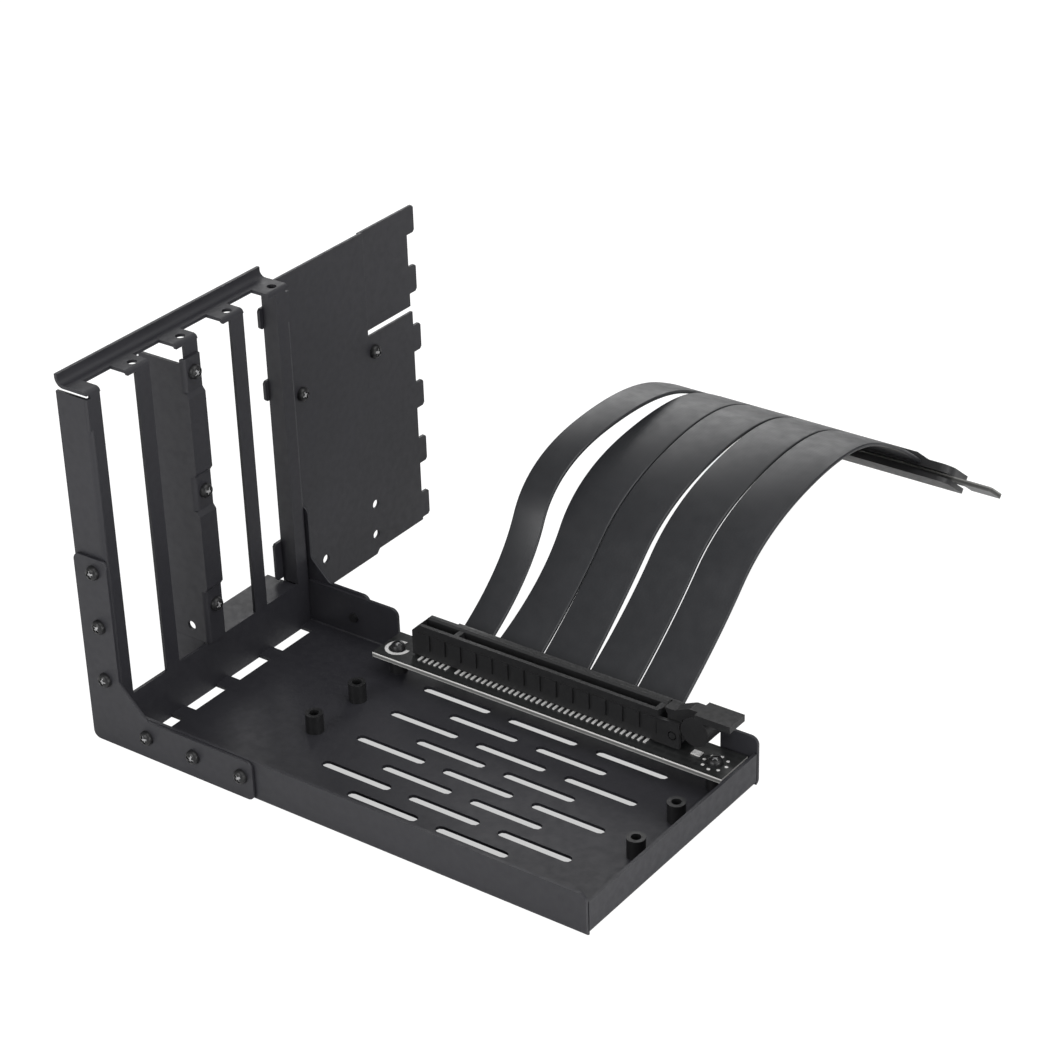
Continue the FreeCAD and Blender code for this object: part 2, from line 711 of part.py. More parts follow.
pocket(plate, plate_holes, plate_gap + gauge * 3)
plate_screw_spots = [(plate_screw_left, plate_screw_up), (plate_screw_right, plate_screw_up)]
nodes.append(placed(plate))

# Front gusset, flat over the tray's and the frame's front flanges
front_gusset = new_body("front_gusset")
front_sketch = new_sketch(front_gusset, "FrontGussetOutline", "XZ")
outline(front_sketch, [
    (-frame_deep, gusset_low, gusset_corner),
    (front_gusset_long, gusset_low, gusset_corner),
    (front_gusset_long, front_gusset_leg, gusset_corner),
    (gusset_edge + gusset_diagonal, front_gusset_leg, gusset_corner),
    (gusset_edge, front_gusset_leg + gusset_diagonal, gusset_corner),
    (gusset_edge, front_gusset_tall, gusset_corner),
    (-frame_deep, front_gusset_tall, gusset_corner),
])
pad(front_gusset, front_sketch, gauge)
front_spots = [(x, gusset_screw_low) for x in leg_screws]
front_spots += [(-gusset_screw_side, z) for z in post_screws]
nodes.append(placed(front_gusset))

# Rear gusset, behind the rear flanges
rear_gusset = new_body("rear_gusset")
rear_sketch = new_sketch(rear_gusset, "RearGussetOutline", "XZ", -(tray_wide + gauge))
outline(rear_sketch, [
    (plate_ease - plate_gap, gusset_low),
    (rear_gusset_long, gusset_low, gusset_corner),
    (rear_gusset_long, rear_gusset_leg, gusset_corner),
    (gusset_edge + rear_gusset_diagonal, rear_gusset_leg, gusset_corner),
    (gusset_edge, rear_gusset_leg + rear_gusset_diagonal, gusset_corner),
    (gusset_edge, rear_gusset_tall, gusset_corner),
    (plate_ease - plate_gap, rear_gusset_tall),
])
pad(rear_gusset, rear_sketch, gauge)
rear_spots = rear_leg_screws + rear_post_screws
nodes.append(placed(rear_gusset))

# Pan screws: plain heads that rest on Z = 0
screw = new_body("screw")
head = new_sketch(screw, "ScrewHead", "XY")
circles(head, [(zero, zero)], head_radius)
pad(screw, head, head_tall)
front_seats = [(x, -gauge, z) for x, z in front_spots]
nodes.append(copies("front_gusset_screws", screw, front_seats, X, quarter))
rear_seats = [(x, tray_wide + gauge, z) for x, z in rear_spots]
nodes.append(copies("rear_gusset_screws", screw, rear_seats, X, -quarter))
strip_seats = [(strip_gauge, y, z) for y, z in strip_screws]
nodes.append(copies("divider_screws", screw, strip_seats, Y, quarter))
plate_seats = [(-plate_gap, y, z) for y, z in plate_screw_spots]
nodes.append(copies("plate_screws", screw, plate_seats, Y, quarter))

# Stand-offs swaged to the tray floor: open ones, and plain ones under the board's screws
standoff = new_body("standoff")
ring = new_sketch(standoff, "StandoffRing", "XY")
circles(ring, [(zero, zero)], stand_radius)
circles(ring, [(zero, zero)], thread_hole)
pad(standoff, ring, stand_tall)
closed = new_body("closed_standoff")
disc = new_sketch(closed, "StandoffDisc", "XY")
circles(disc, [(zero, zero)], stand_radius)
pad(closed, disc, stand_tall)
stand_spots = [(x, stand_front + card * row, gauge) for row in range(3) for x in (stand_left, stand_right)]
nodes.append(copies("riser_standoffs", standoff, stand_spots[:4]))
nodes.append(copies("board_standoffs", closed, stand_spots[4:]))

# Riser board with a tail through the rear opening
board = new_body("riser_board")
board_rear = tray_wide - gauge - board_rear_gap
board_sketch = new_sketch(board, "BoardOutline", "XY", board_low)
outline(board_sketch, [
    (board_left, board_front),
    (board_right, board_front),
    (board_right, board_rear),
    (board_tail_right, board_rear),
    (board_tail_right, board_tail),
    (board_tail_left, board_tail),
    (board_tail_left, board_rear),
    (board_left, board_rear),
])
pad(board, board_sketch, board_gauge)
nodes.append(placed(board))
nodes.append(copies("riser_screws", screw, [(x, y, board_top) for x, y, z in stand_spots[4:]]))

# Card slot: a channelled bar with ribs on both sides and two cheeks for the latch
housing = new_body("slot_housing")
slot_base = board_top + slot_foot
slot_top = board_top + slot_tall
slot_right = slot_left + slot_long
half_wide = slot_wide / 2
half_gap = slot_gap / 2
bar = new_sketch(housing, "SlotBar", "XZ", -(slot_axis + half_wide))
outline(bar, [
    (slot_left, slot_base),
    (slot_right, slot_base),
    (slot_right, slot_top),
    (slot_left + slot_ramp, slot_top),
    (slot_left, slot_top - slot_ramp),
])
pad(housing, bar, slot_wide)
bay_left = slot_left + slot_end
bay_right = slot_right - slot_end
bays = [(bay_left, slot_left + slot_key_at), (slot_left + slot_key_at + slot_key, bay_right)]
trough = new_sketch(housing, "SlotChannel", "XY", slot_top + gauge)
for low, high in bays:
    rectangle(trough, low, slot_axis - half_gap, high, slot_axis + half_gap)
pocket(housing, trough, slot_tall - slot_floor + gauge)
mouth = new_sketch(housing, "SlotMouth", "YZ", slot_right)
outline(mouth, [
    (slot_axis - half_gap, slot_top - slot_mouth),
    (slot_axis + half_gap, slot_top - slot_mouth),
    (slot_axis + half_gap + slot_mouth * 2, slot_top + slot_mouth),
    (slot_axis - half_gap - slot_mouth * 2, slot_top + slot_mouth),
])
pocket(housing, mouth, slot_long - slot_ramp)
passages = new_sketch(housing, "SlotContactPassages", "XY", slot_base + slot_floor)
for low, high in bays:
    for edge, side in ((-half_gap, pin_gauge * 2), (half_gap, -pin_gauge * 2)):
        first, last = (edge, edge + side) if side.value > 0 else (edge + side, edge)
        rectangle(passages, low, slot_axis + first, high, slot_axis + last)
pocket(housing, passages, slot_floor * 2)
rib = new_sketch(housing, "SlotRib", "XY", board_top + rib_low)
rib_start = slot_left + rib_first
rib_side = half_wide + rib_out
rectangle(rib, rib_start, slot_axis - rib_side, rib_start + rib_wide, slot_axis + rib_side)
rib_pad = pad(housing, rib, rib_tall)
pattern(housing, rib_pad, rib, "H_Axis", rib_count, rib_pitch)
clear = new_sketch(housing, "SlotClear", "XY", slot_top + gauge)
for low, high in bays:
    rectangle(clear, low, slot_axis - half_gap, high, slot_axis + half_gap)
pocket(housing, clear, slot_tall - slot_floor + gauge)
cheeks = new_sketch(housing, "SlotCheeks", "XY", slot_base)
cheek_in = latch_arm / 2 + latch_gap
for low in (slot_axis - cheek_in - cheek, slot_axis + cheek_in):
    rectangle(cheeks, slot_right - cheek, low, slot_right + cheek_long, low + cheek)
pad(housing, cheeks, cheek_tall)
bearing = new_sketch(housing, "SlotBearing", "XZ", -(slot_axis - slot_wide))
circles(bearing, [(slot_right + pin_out, board_top + pin_up)], pin_radius + latch_gap)
pocket(housing, bearing, slot_wide * 2)
nodes.append(placed(housing))

# Latch: a lever with a round lobe and a flat paddle on its own two pins, drawn about the pin axis
latch = new_body("slot_latch")
lever = new_sketch(latch, "LatchLever", "XZ", latch_arm / 2)
lever_rise = latch_top - pin_up
outline(lever, [
    (-latch_hub, -latch_hub),
    (latch_hub, -latch_hub),
    (latch_hub, lever_rise - latch_thick * 2),
    (latch_reach - pin_out, lever_rise - latch_thick),
    (latch_reach - pin_out, lever_rise),
    (pin_out, lever_rise, latch_round),
    (zero, lever_rise - latch_thick),
    (-latch_hub - latch_nose, lever_rise - latch_thick),
    (-latch_hub, lever_rise - latch_thick * 2),
])
pad(latch, lever, latch_arm).Reversed = True
lobe = new_sketch(latch, "LatchLobe", "XZ", lobe_wide / 2)
circles(lobe, [(lobe_out, lobe_up)], lobe_radius)
pad(latch, lobe, lobe_wide).Reversed = True
paddle = new_sketch(latch, "LatchPaddle", "XY", lever_rise - latch_thick)
rectangle(paddle, lobe_out, lobe_wide / -2, latch_reach - pin_out, lobe_wide / 2)
pad(latch, paddle, latch_thick)
pins = new_sketch(latch, "LatchPins", "XZ", latch_arm / 2 + latch_gap + cheek)
circles(pins, [(zero, zero)], pin_radius)
pad(latch, pins, latch_arm + (latch_gap + cheek) * 2).Reversed = True
nodes.append(placed(latch, slot_right + pin_out, slot_axis, board_top + pin_up))


def contact_row(name, side):
    """One row of spring contacts whose feet lie on the board beside the slot."""
    body = new_body(name)
    wall = slot_axis + half_gap * side
    face = wall - pin_gauge * side
    toe = slot_axis + (half_wide + pin_foot) * side
    start = slot_left + pin_first
    contact = new_sketch(body, name + "Shape", "YZ", start)
    outline(contact, [
        (face, board_top),
        (toe, board_top),
        (toe, board_top + pin_gauge),
        (wall, board_top + pin_gauge),
        (wall, board_top + pin_tall),
        (face, board_top + pin_tall),
    ])
    first = pad(body, contact, pin_wide)
    pattern(body, first, contact, "N_Axis", short_row, pin_pitch)
    rest = new_sketch(body, name + "Rest", "YZ", start + pin_pitch * pin_skip)
    outline(rest, [
        (face, board_top),
        (toe, board_top),
        (toe, board_top + pin_gauge),
        (wall, board_top + pin_gauge),
        (wall, board_top + pin_tall),
        (face, board_top + pin_tall),
    ])
    second = pad(body, rest, pin_wide)
    pattern(body, second, rest, "N_Axis", long_row, pin_pitch)
    return placed(body)


nodes.append(contact_row("slot_contacts_front", -1))
nodes.append(contact_row("slot_contacts_rear", 1))

# Ribbon clamp: a bar whose sloping face is square to the ribbon's exit
clamp = new_body("ribbon_clamp")
rise = math.radians(rise_angle.value)
across_face = clamp_face * math.sin(rise)
up_face = clamp_face * math.cos(rise)
clamp_sketch = new_sketch(clamp, "ClampSection", "YZ", band_edges[0] - clamp_over)
outline(clamp_sketch, [
    (clamp_front, board_top),
    (clamp_rear, board_top),
    (clamp_rear, exit_up - up_face * 2),
    (exit_across + across_face, exit_up - up_face),
    (exit_across - across_face, exit_up + up_face),
    (clamp_front, exit_up + up_face),
])
pad(clamp, clamp_sketch, band_edges[5] - band_edges[0] + clamp_over * 2)
nodes.append(placed(clamp))


def route(points):
    """Straight runs joined by tangent arcs through a list of points, and the arcs' radii."""
    pieces = []
    radii = []
    begin = points[0]
    for i in range(1, len(points) - 1):
        back = points[i - 1] - points[i]
        ahead = points[i + 1] - points[i]
        trim = min(back.Length, ahead.Length) * arc_share.value
        half = back.getAngle(ahead) / 2
        radius = trim * math.tan(half)
        enter = points[i] + back.normalize() * trim
        leave = points[i] + ahead.normalize() * trim
        inward = (back + ahead).normalize()
        middle = points[i] + inward * (math.hypot(radius, trim) - radius)
        pieces.append(Part.LineSegment(begin, enter).toShape())
        pieces.append(Part.Arc(enter, middle, leave).toShape())
        radii.append(radius)
        begin = leave
    pieces.append(Part.LineSegment(begin, points[-1]).toShape())
    return Part.Wire(pieces), radii


def ribbon(number, knee, crest, run, gap):
    """One flat band swept along its route from the clamp to the plug."""
    left = band_edges[number - 1] + band_gap / 2
    right = band_edges[number] - gap
    fall = math.radians(plug_tilt.value)
    middle = (left.value + right.value) / 2
    start = Vector(middle, exit_across.value, exit_up.value)
    end = Vector(middle, plug_across.value, plug_up.value)
    points = [
        start,
        start + Vector(0, math.cos(rise), math.sin(rise)) * rise_run.value,
        Vector(middle, knee[0].value, knee[1].value),
        Vector(middle, crest[0].value, crest[1].value),
        end + Vector(0, -math.cos(fall), math.sin(fall)) * run.value,
        end,
    ]
    spine, radii = route(points)
    thick = Vector(0, -math.sin(rise), math.cos(rise)) * (band_gauge.value / 2)
    wide = Vector((right.value - left.value) / 2, 0, 0)
    corners = [start - wide - thick, start + wide - thick, start + wide + thick, start - wide + thick]
    section = Part.makePolygon(corners + corners[:1])
    sweep = Part.BRepOffsetAPI.MakePipeShell(spine)
    sweep.setBiNormalMode(Vector(1, 0, 0))
    sweep.add(section)
    sweep.build()
    sweep.makeSolid()
    band = doc.addObject("Part::Feature", f"ribbon_{number}")
    band.Label = f"ribbon_{number}"
    band.Shape = sweep.shape()
    length = spine.Length
    area = wide.Length * thick.Length * 4
    print(band.Name, "length", round(length, 1), "radii", [round(r, 1) for r in radii])
    print(band.Name, "volume", round(band.Shape.Volume, 1), "section x length", round(area * length, 1))
    return placed(band)


bow_crest = (bow_crest_across, bow_crest_up)
nodes.append(ribbon(1, (bow_knee_across, bow_knee_up), bow_crest, bow_last_run, bow_gap))
for number in range(2, 6):
    crest = (crest_across, crest_up - crest_fall * (5 - number))
    nodes.append(ribbon(number, (knee_across, knee_up), crest, last_run, band_gap / 2))

# Plug: a card edge between two covers, drawn flat and tilted with the ribbon's end
seat = board_gauge / 2 + plug_upper / 2
tilt = math.radians(plug_tilt.value)
plug_seat = (zero, plug_across - seat * math.sin(tilt), plug_up - seat * math.cos(tilt))


def plug_cover(name, base, thick):
    body = new_body(name)
    shell = new_sketch(body, name + "Outline", "XY", base)
    outline(shell, [
        (plug_left, zero, plug_end),
        (plug_right, zero, plug_end),
        (plug_right, plug_deep, plug_end / 2),
        (plug_left, plug_deep, plug_end / 2),
    ])
    pad(body, shell, thick)
    return placed(body, *plug_seat, axis=X, angle=-plug_tilt)


upper_cover = plug_cover("plug_cover_upper", board_gauge / 2, plug_upper)
hump = new_sketch(upper_cover, "PlugHump", "XZ", -plug_deep)
cover_top = board_gauge / 2 + plug_upper
outline(hump, [
    (plug_left + hump_in, cover_top),
    (plug_right - hump_in, cover_top),
    (plug_right - hump_in - hump_slope, cover_top + hump_tall),
    (plug_left + hump_in + hump_slope, cover_top + hump_tall),
])
pad(upper_cover, hump, plug_deep)
nodes.append(upper_cover)
nodes.append(plug_cover("plug_cover_lower", -board_gauge / 2 - plug_lower, plug_lower))
card_edge = new_body("plug_board")
edge_sketch = new_sketch(card_edge, "CardEdgeOutline", "XY", board_gauge / -2)
edge_right = edge_left + edge_long
tip_at = plug_deep + edge_out
outline(edge_sketch, [
    (edge_left, plug_end),
    (hook_end, plug_end, hook_corner),
    (hook_end, plug_end + hook_deep, hook_corner),
    (plug_right + hook_gap, plug_end + hook_deep),
    (plug_right + hook_gap, plug_end + hook_back),
    (plug_right - hook_gap, plug_end + hook_back),
    (plug_right - hook_gap, plug_deep - hook_back),
    (edge_right, plug_deep - hook_back),
    (edge_right, tip_at),
    (edge_left + edge_key_at + edge_key, tip_at),
    (edge_left + edge_key_at + edge_key, plug_deep),
    (edge_left + edge_key_at, plug_deep),
    (edge_left + edge_key_at, tip_at),
    (edge_left, tip_at),
])
pad(card_edge, edge_sketch, board_gauge)
nodes.append(placed(card_edge, *plug_seat, axis=X, angle=-plug_tilt))

doc.recompute()
for item in doc.Objects:
    if "Invalid" in item.State or "Error" in item.State:
        raise RuntimeError(f"{item.Name} is {item.State}")
os.makedirs("parts", exist_ok=True)
for node in nodes:
    if node.Shape.isNull() or not node.Shape.isValid():
        raise RuntimeError(f"{node.Label} has no valid shape")
    box = node.Shape.BoundBox
    corners = [round(v, 1) for v in (box.XMin, box.YMin, box.ZMin, box.XMax, box.YMax, box.ZMax)]
    print(node.Label, len(node.Shape.Solids), "solids", round(node.Shape.Volume, 1), "mm3", corners)
    node.Shape.exportStep(f"parts/{node.Label}.step")
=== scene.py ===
# %% [markdown]
# A bracket that holds a graphics card upright in a computer case. The steel tray, the slot
# frame and the other solids come from the CAD model, in metres and already in their places.
# This lesson dresses them: it finds the camera, lays the ribbon cable, paints every finish
# with shader nodes, adds the small things that the solids leave out, and lights the scene.

# %% Load the CAD model
import math
import bmesh
import bpy
from mathutils import Matrix, Vector


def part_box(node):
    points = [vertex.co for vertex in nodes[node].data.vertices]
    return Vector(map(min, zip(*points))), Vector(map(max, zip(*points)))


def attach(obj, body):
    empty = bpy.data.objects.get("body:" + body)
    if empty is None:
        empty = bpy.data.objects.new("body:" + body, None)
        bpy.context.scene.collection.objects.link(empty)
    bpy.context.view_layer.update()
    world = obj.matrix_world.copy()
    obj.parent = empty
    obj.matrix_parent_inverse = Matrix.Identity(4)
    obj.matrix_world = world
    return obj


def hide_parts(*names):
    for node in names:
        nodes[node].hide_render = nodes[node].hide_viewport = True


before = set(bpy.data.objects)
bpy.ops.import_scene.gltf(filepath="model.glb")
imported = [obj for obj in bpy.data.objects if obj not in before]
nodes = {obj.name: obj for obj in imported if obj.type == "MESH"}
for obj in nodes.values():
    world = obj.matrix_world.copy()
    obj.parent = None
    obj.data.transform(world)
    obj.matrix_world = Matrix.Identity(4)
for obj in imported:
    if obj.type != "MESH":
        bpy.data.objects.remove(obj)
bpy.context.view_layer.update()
MM = 0.001

# %% [markdown]
# The camera comes first, because every later choice is judged through it. Its place, its
# long focal length and the small shift were worked out from points whose places are known on
# the object, so that the picture and the model fall on each other. A camera in Blender looks
# along its own -Z axis with Y up, so the picture's right, down and forward directions give the
# three columns of its turn.

# %% Camera
camera_place = Vector((0.43074, -0.53461, 0.45886))
view_right = Vector((0.8072784, 0.5893011, -0.0320288))
view_down = Vector((0.2638656, -0.4089465, -0.8735776))
view_forward = Vector((-0.5278983, 0.6967689, -0.4856299))
camera_data = bpy.data.cameras.new("camera")
camera_data.sensor_width = 36
camera_data.lens = 96.8
camera_data.shift_x = 0.0243
camera_data.shift_y = 0.0042
camera_data.clip_start = 0.05
camera = bpy.data.objects.new("camera", camera_data)
camera_turn = Matrix((view_right, -view_down, -view_forward)).transposed().to_4x4()
camera.matrix_world = Matrix.Translation(camera_place) @ camera_turn
bpy.context.scene.collection.objects.link(camera)
bpy.context.scene.camera = camera
print("camera at", [round(v, 3) for v in camera_place], "lens", camera_data.lens)

# %% [markdown]
# The cable is five flat bands side by side. Each is stiff enough to stand in a free arch
# between the clamp on the board and the plug. Two smooth NURBS lines guide a band, one for
# each of its edges. Their control points follow the same route as the CAD solids; a few are
# moved a little, so that the slits between the bands open in the rise and close again
# at the crest. A curve with a bevel would do for a round lead, but a flat band has to keep its
# broad side level, so later a small rounded section is extruded from point to point.

# %% Guide lines of the bands
TRAY_MIDDLE = Vector((82.65, 43.5, 0))


def at(x, y, z):
    """A place measured from the tray's inner corner in millimetres, as metres in the frame."""
    return (Vector((x, y, z)) - TRAY_MIDDLE) * MM


def smooth_line(name, edge, aside, route):
    """Points of a NURBS line along a route, beside an edge at a given X."""
    curve = bpy.data.curves.new(name, "CURVE")
    curve.dimensions = "3D"
    curve.resolution_u = 14
    spline = curve.splines.new("NURBS")
    spline.points.add(len(route) - 1)
    for point, (y, z), move in zip(spline.points, route, aside):
        point.co = (*at(edge + move, y, z), 1)
    spline.order_u = 3
    spline.use_endpoint_u = True
    holder = bpy.data.objects.new(name, curve)
    line = bpy.data.meshes.new_from_object(holder)
    points = [vertex.co.copy() for vertex in line.vertices]
    bpy.data.objects.remove(holder)
    bpy.data.meshes.remove(line)
    bpy.data.curves.remove(curve)
    return points


# %% [markdown]
# A route is a list of Y and Z in millimetres, from the clamp to the plug. Four bands share one
# arch and the first bows higher. Each band names its route, then the X of its left edge with
# the sideways moves of its six points, and the same for its right edge.

# %% Edges of each band
PLUG_END = (228.5, 33.8)
root = [(88.5, 16.2), (107.454, 28.509)]
arch = root + [(133.2, 52.5), (182.1, 59.8), (212.3, 47.2), PLUG_END]
bowed = root + [(124.5, 57.8), (174.0, 64.0), (209.6, 48.6), PLUG_END]
unmoved = (0, 0, 0, 0, 0, 0)
band_edges = {
    "ribbon_1": (bowed, 59.25, (0, 0.8, -0.8, 1.8, 1.0, 0), 70.5, (0, 0.8, -0.8, 2.6, 1.0, 0)),
    "ribbon_2": (arch, 72.65, (0, 3.0, -1.5, 0.8, 0, 0), 88.55, (0, 0.3, 0.3, 0.4, 0.3, 0)),
    "ribbon_3": (arch, 89.05, unmoved, 105.35, (0, -0.8, -0.5, 0.1, 0.1, 0)),
    "ribbon_4": (arch, 105.85, (0, 0.6, 0.4, -0.1, -0.1, 0), 122.15, (0, 0, 0, 0.1, 0.1, 0)),
    "ribbon_5": (arch, 122.65, (0, 0, 0, -0.2, -0.2, 0), 138.75, unmoved),
}
lines = {}
for name, (route, left, left_aside, right, right_aside) in band_edges.items():
    left_line = smooth_line(name + "_left", left, left_aside, route)
    right_line = smooth_line(name + "_right", right, right_aside, route)
    lines[name] = (left_line, right_line)
    print(name, len(left_line), "points, width at the clamp (mm)", round(right - left, 2))

# %% [markdown]
# Every piece that is made here ends in the same way: the bmesh becomes an object at the
# origin, its normals point outwards, and edges flatter than a given angle shade smoothly. A
# second helper sorts out what an operator returns, which is a mixed list of points, edges and
# faces.

# %% Finish a new piece
SMOOTH_BELOW = math.radians(35)


def finish_piece(name, bm):
    """A new object from a bmesh, riding on the bracket."""
    bmesh.ops.recalc_face_normals(bm, faces=bm.faces)
    mesh = bpy.data.meshes.new(name)
    bm.to_mesh(mesh)
    bm.free()
    mesh.polygons.foreach_set("use_smooth", [True] * len(mesh.polygons))
    mesh.set_sharp_from_angle(angle=SMOOTH_BELOW)
    piece = bpy.data.objects.new(name, mesh)
    bpy.context.scene.collection.objects.link(piece)
    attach(piece, "bracket")
    return piece


def only(kind, geom):
    """The items of one kind in a mixed list."""
    return [item for item in geom if isinstance(item, kind)]


# %% [markdown]
# A band's section is one face of a grid, stretched to the band's width and thickness and
# bevelled at its corners. Its rim is extruded from one station to the next along the middle of
# the two guide lines. A station is a matrix that turns the section square to the line and makes
# it as wide as the lines are apart there.

# %% Sweep one band
BAND_GAUGE = 1.2
BAND_CORNER = 0.45 * BAND_GAUGE


def band_stations(left_line, right_line, middle, first_width):
    """One matrix for each point of the middle line."""
    last = len(middle) - 1
    stations = []
    for i, point in enumerate(middle):
        along = (middle[min(i + 1, last)] - middle[max(i - 1, 0)]).normalized()
        across = right_line[i] - left_line[i]
        wide = Matrix.Diagonal((across.length / first_width, 1, 1, 1))
        across = (across - along * along.dot(across)).normalized()
        stand = Matrix((across, along.cross(across), along)).transposed().to_4x4()
        stations.append(Matrix.Translation(point) @ stand @ wide)
    return stations


def flat_band(name, first_width, stations):
    """A rounded flat section extruded from station to station."""
    bm = bmesh.new()
    bmesh.ops.create_grid(bm, x_segments=1, y_segments=1, size=0.5)
    bmesh.ops.scale(bm, vec=(first_width, BAND_GAUGE * MM, 1), verts=bm.verts)
    bmesh.ops.bevel(
        bm, geom=list(bm.verts), offset=BAND_CORNER * MM, offset_type="OFFSET",
        affect="VERTICES", segments=5, profile=0.5, material=-1,
    )
    bmesh.ops.transform(bm, matrix=stations[0], verts=bm.verts)
    ring = list(bm.edges)
    for before, after in zip(stations, stations[1:]):
        grown = bmesh.ops.extrude_edge_only(bm, edges=ring)["geom"]
        ring = [edge for edge in only(bmesh.types.BMEdge, grown) if edge.is_boundary]
        tip = only(bmesh.types.BMVert, grown)
        bmesh.ops.transform(bm, matrix=after @ before.inverted(), verts=tip)
    bmesh.ops.edgeloop_fill(bm, edges=ring)
    return finish_piece(name, bm)


# %% [markdown]
# Each band stands for its CAD solid.

# %% Lay the five bands
ribbon_pieces = []
for name, (left_line, right_line) in lines.items():
    middle = [(a + b) / 2 for a, b in zip(left_line, right_line)]
    width = (right_line[0] - left_line[0]).length
    piece = flat_band(name + "_band", width, band_stations(left_line, right_line, middle, width))
    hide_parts(name)
    ribbon_pieces.append(piece)

# %% [markdown]
# Finishes are built from shader nodes. They read Object coordinates, which are metres in the
# same frame as the CAD, so a noise scale of 1000 gives grains about a millimetre across. A few
# small helpers save repetition. The first two start a material and give it to CAD nodes.

# %% Start a finish and paint with it


def new_finish(name):
    """A node material with its shader and its Object coordinates."""
    finish = bpy.data.materials.new(name)
    finish.use_nodes = True
    tree = finish.node_tree
    shader = tree.nodes["Principled BSDF"]
    place = tree.nodes.new("ShaderNodeTexCoord").outputs["Object"]
    return finish, tree, shader, place


def paint(finish, *names):
    """Give CAD nodes one finish."""
    for name in names:
        mesh = nodes[name].data
        mesh.materials.clear()
        mesh.materials.append(finish)
    print(finish.name, "on", ", ".join(names))


# %% [markdown]
# The next helpers add a noise and say what it drives: a range of numbers, a mix of two colours
# or a bump.

# %% Noise and what it drives


def grain(tree, place, grains_per_metre, detail=3.0):
    """A noise whose grains are this many to the metre; gives its value from 0 to 1."""
    noise = tree.nodes.new("ShaderNodeTexNoise")
    noise.inputs["Scale"].default_value = grains_per_metre
    noise.inputs["Detail"].default_value = detail
    tree.links.new(place, noise.inputs["Vector"])
    return noise.outputs["Fac"]


def spread(tree, value, low, high, from_low=0.3, from_high=0.7):
    """Map a noise to a range, such as a roughness from low to high."""
    span = tree.nodes.new("ShaderNodeMapRange")
    span.inputs["From Min"].default_value = from_low
    span.inputs["From Max"].default_value = from_high
    span.inputs["To Min"].default_value = low
    span.inputs["To Max"].default_value = high
    tree.links.new(value, span.inputs["Value"])
    return span.outputs["Result"]


def between(tree, value, first, second):
    """A colour that goes from the first to the second as a value goes from 0 to 1."""
    ramp = tree.nodes.new("ShaderNodeValToRGB")
    ramp.color_ramp.elements[0].color = (*first, 1)
    ramp.color_ramp.elements[1].color = (*second, 1)
    tree.links.new(value, ramp.inputs["Fac"])
    return ramp.outputs["Color"]


def relief(tree, shader, value, depth_mm, strength):
    """Bump the shader's normal by a value, as deep as given."""
    bump = tree.nodes.new("ShaderNodeBump")
    bump.inputs["Strength"].default_value = strength
    bump.inputs["Distance"].default_value = depth_mm * MM
    tree.links.new(value, bump.inputs["Height"])
    tree.links.new(bump.outputs["Normal"], shader.inputs["Normal"])


# %% [markdown]
# Nearly every finish has the same plan. A noise moves its colour a little between two tones,
# and a finer one moves its roughness, so that the gloss is never even. Each is given as the
# number of grains to the metre and the two ends of its range.

# %% A finish with uneven colour and gloss


def uneven_finish(name, colour, gloss, detail=3.0):
    """A material whose colour and roughness follow two noises."""
    finish, tree, shader, place = new_finish(name)
    colour_grains, first, second = colour
    tone = between(tree, grain(tree, place, colour_grains, detail), first, second)
    tree.links.new(tone, shader.inputs["Base Color"])
    gloss_grains, low, high = gloss
    rough = spread(tree, grain(tree, place, gloss_grains), low, high)
    tree.links.new(rough, shader.inputs["Roughness"])
    return finish, tree, shader, place


# %% [markdown]
# The tray, the frame and the plates are steel sheet under a fine black powder coat. Powder
# melts into a skin with a very fine orange peel, so the gloss is broken up: a fine noise gives
# the bump, and a coarser one moves the roughness and the grey a little.

# %% Black powder coat
coat, tree, shader, place = uneven_finish(
    "black_powder_coat", colour=(55, (0.015, 0.0149, 0.0185), (0.021, 0.0208, 0.0258)),
    gloss=(420, 0.44, 0.56), detail=4,
)
relief(tree, shader, grain(tree, place, 1700, 2), 0.02, 0.35)
folded_sheets = ["tray", "slot_frame", "divider_strip"]
flat_plates = ["adapter_plate", "front_gusset", "rear_gusset"]
paint(coat, *folded_sheets, *flat_plates)

# %% [markdown]
# A cut and coated edge is never a razor: the coat rounds it, and the round catches a thin line
# of light. On the flat plates a Weld joins the CAD mesh's loose triangles and a Bevel takes
# about a tenth of a millimetre off the sharp edges. The folded sheets keep theirs, because a
# Bevel throws points off the sheet where a bend runs out into a corner.

# %% Soften the plate edges
EDGE_ROUND = 0.12
for name in flat_plates:
    weld = nodes[name].modifiers.new("weld", "WELD")
    weld.merge_threshold = 0.002 * MM
    ease = nodes[name].modifiers.new("edge_round", "BEVEL")
    ease.width = EDGE_ROUND * MM
    ease.segments = 2
    ease.limit_method = "ANGLE"
    ease.angle_limit = math.radians(40)
    ease.use_clamp_overlap = False
    ease.harden_normals = True
print("edges rounded on", len(flat_plates), "plates")

# %% [markdown]
# Screws and stand-offs are steel with a black oxide, a thin dark skin with a little more gloss
# than the coat. The faces inside the crosses of the screws get a second finish, a pale steel
# that
# paints the bright glint seen there: a painted highlight.

# %% Black oxide, and pale steel as a painted highlight in the crosses
oxide, tree, shader, place = uneven_finish(
    "black_oxide", colour=(300, (0.008, 0.008, 0.0085), (0.015, 0.015, 0.016)),
    gloss=(900, 0.32, 0.46),
)
relief(tree, shader, grain(tree, place, 2600, 2), 0.01, 0.3)
shader.inputs["Specular IOR Level"].default_value = 0.4
paint(oxide, "riser_standoffs", "board_standoffs")
# A pale steel for the faces inside the crosses: it paints their highlight.
steel, tree, shader, place = uneven_finish(
    "cross_highlight_steel", colour=(700, (0.38, 0.38, 0.39), (0.5, 0.5, 0.5)), gloss=(1500, 0.3, 0.45),
)
relief(tree, shader, grain(tree, place, 3000, 2), 0.01, 0.3)
shader.inputs["Metallic"].default_value = 0.15

